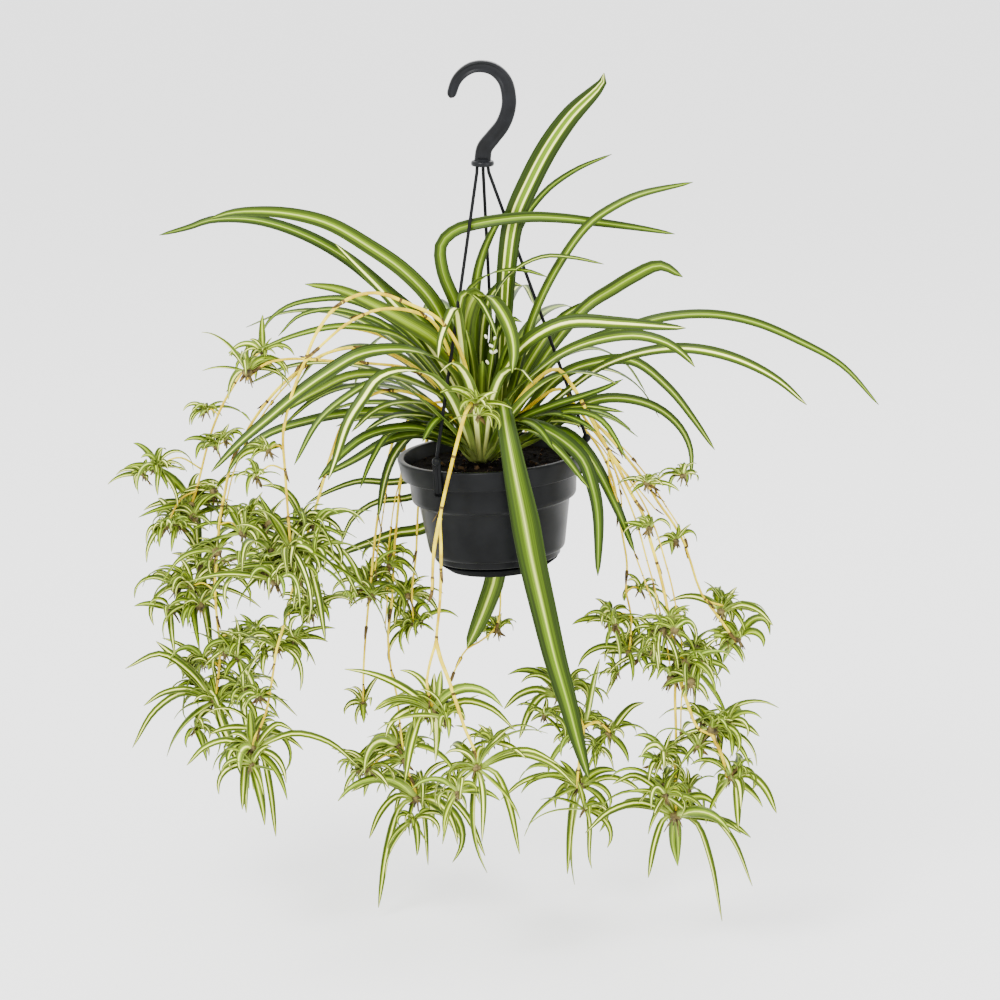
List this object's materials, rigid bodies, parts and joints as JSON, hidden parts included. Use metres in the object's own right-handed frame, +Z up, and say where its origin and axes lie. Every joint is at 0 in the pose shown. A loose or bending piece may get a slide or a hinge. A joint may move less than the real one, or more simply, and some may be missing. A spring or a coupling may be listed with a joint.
{
  "type": "potted spider plant in hanging pot",
  "caption": "Spider plant with arching striped strap leaves and long trailing runners of plantlets, in a round black plastic hanging pot on a three-strand hook hanger.",
  "frame": {"origin": "the seat inside the top of the hook, where the hanger bears on what it hangs from", "axes": "+Z up, +X to the right and +Y away from someone who looks at the front of the plant"},
  "size_m": [0.762, 0.4788, 0.8918],
  "materials": {
    "black_plastic": "satin",
    "soil": "matte",
    "leaf": "satin",
    "young_leaf": "satin",
    "runner_stem": "satin"
  },
  "bodies": {
    "root": {"drip_saucer": "black_plastic", "hanger_hook": "black_plastic", "hanger_strand_back": "black_plastic", "hanger_strand_front": "black_plastic", "hanger_strand_right": "black_plastic", "mother_rosette": "leaf", "plantlets_back_1": "young_leaf", "plantlets_back_left_1": "young_leaf", "plantlets_back_left_2": "young_leaf", "plantlets_back_left_3": "young_leaf", "plantlets_back_left_short_1": "young_leaf", "plantlets_back_right_1": "young_leaf", "plantlets_back_right_2": "young_leaf", "plantlets_far_left_1": "young_leaf", "plantlets_far_left_2": "young_leaf", "plantlets_far_left_3": "young_leaf", "plantlets_far_right_1": "young_leaf", "plantlets_far_right_2": "young_leaf", "plantlets_far_right_3": "young_leaf", "plantlets_front_1": "young_leaf", "plantlets_front_2": "young_leaf", "plantlets_front_3": "young_leaf", "plantlets_left_back_1": "young_leaf", "plantlets_left_back_2": "young_leaf", "plantlets_left_back_3": "young_leaf", "plantlets_left_back_4": "young_leaf", "plantlets_left_back_5": "young_leaf", "plantlets_left_front_1": "young_leaf", "plantlets_left_front_2": "young_leaf", "plantlets_left_inner_1": "young_leaf", "plantlets_left_inner_2": "young_leaf", "plantlets_left_inner_3": "young_leaf", "plantlets_left_inner_4": "young_leaf", "plantlets_left_upper_1": "young_leaf", "plantlets_right_1": "young_leaf", "plantlets_right_2": "young_leaf", "plantlets_right_3": "young_leaf", "plantlets_right_4": "young_leaf", "plantlets_right_5": "young_leaf", "plantlets_right_back_1": "young_leaf", "plantlets_side_back_1": "young_leaf", "plantlets_side_back_2": "young_leaf", "pot": "black_plastic", "potting_soil": "soil", "runner_back": "runner_stem", "runner_back_left": "runner_stem", "runner_back_left_short": "runner_stem", "runner_back_right": "runner_stem", "runner_far_left": "runner_stem", "runner_far_right": "runner_stem", "runner_front": "runner_stem", "runner_left_back": "runner_stem", "runner_left_front": "runner_stem", "runner_left_inner": "runner_stem", "runner_left_upper": "runner_stem", "runner_right": "runner_stem", "runner_right_back": "runner_stem", "runner_side_back": "runner_stem"}
  },
  "joints": []
}
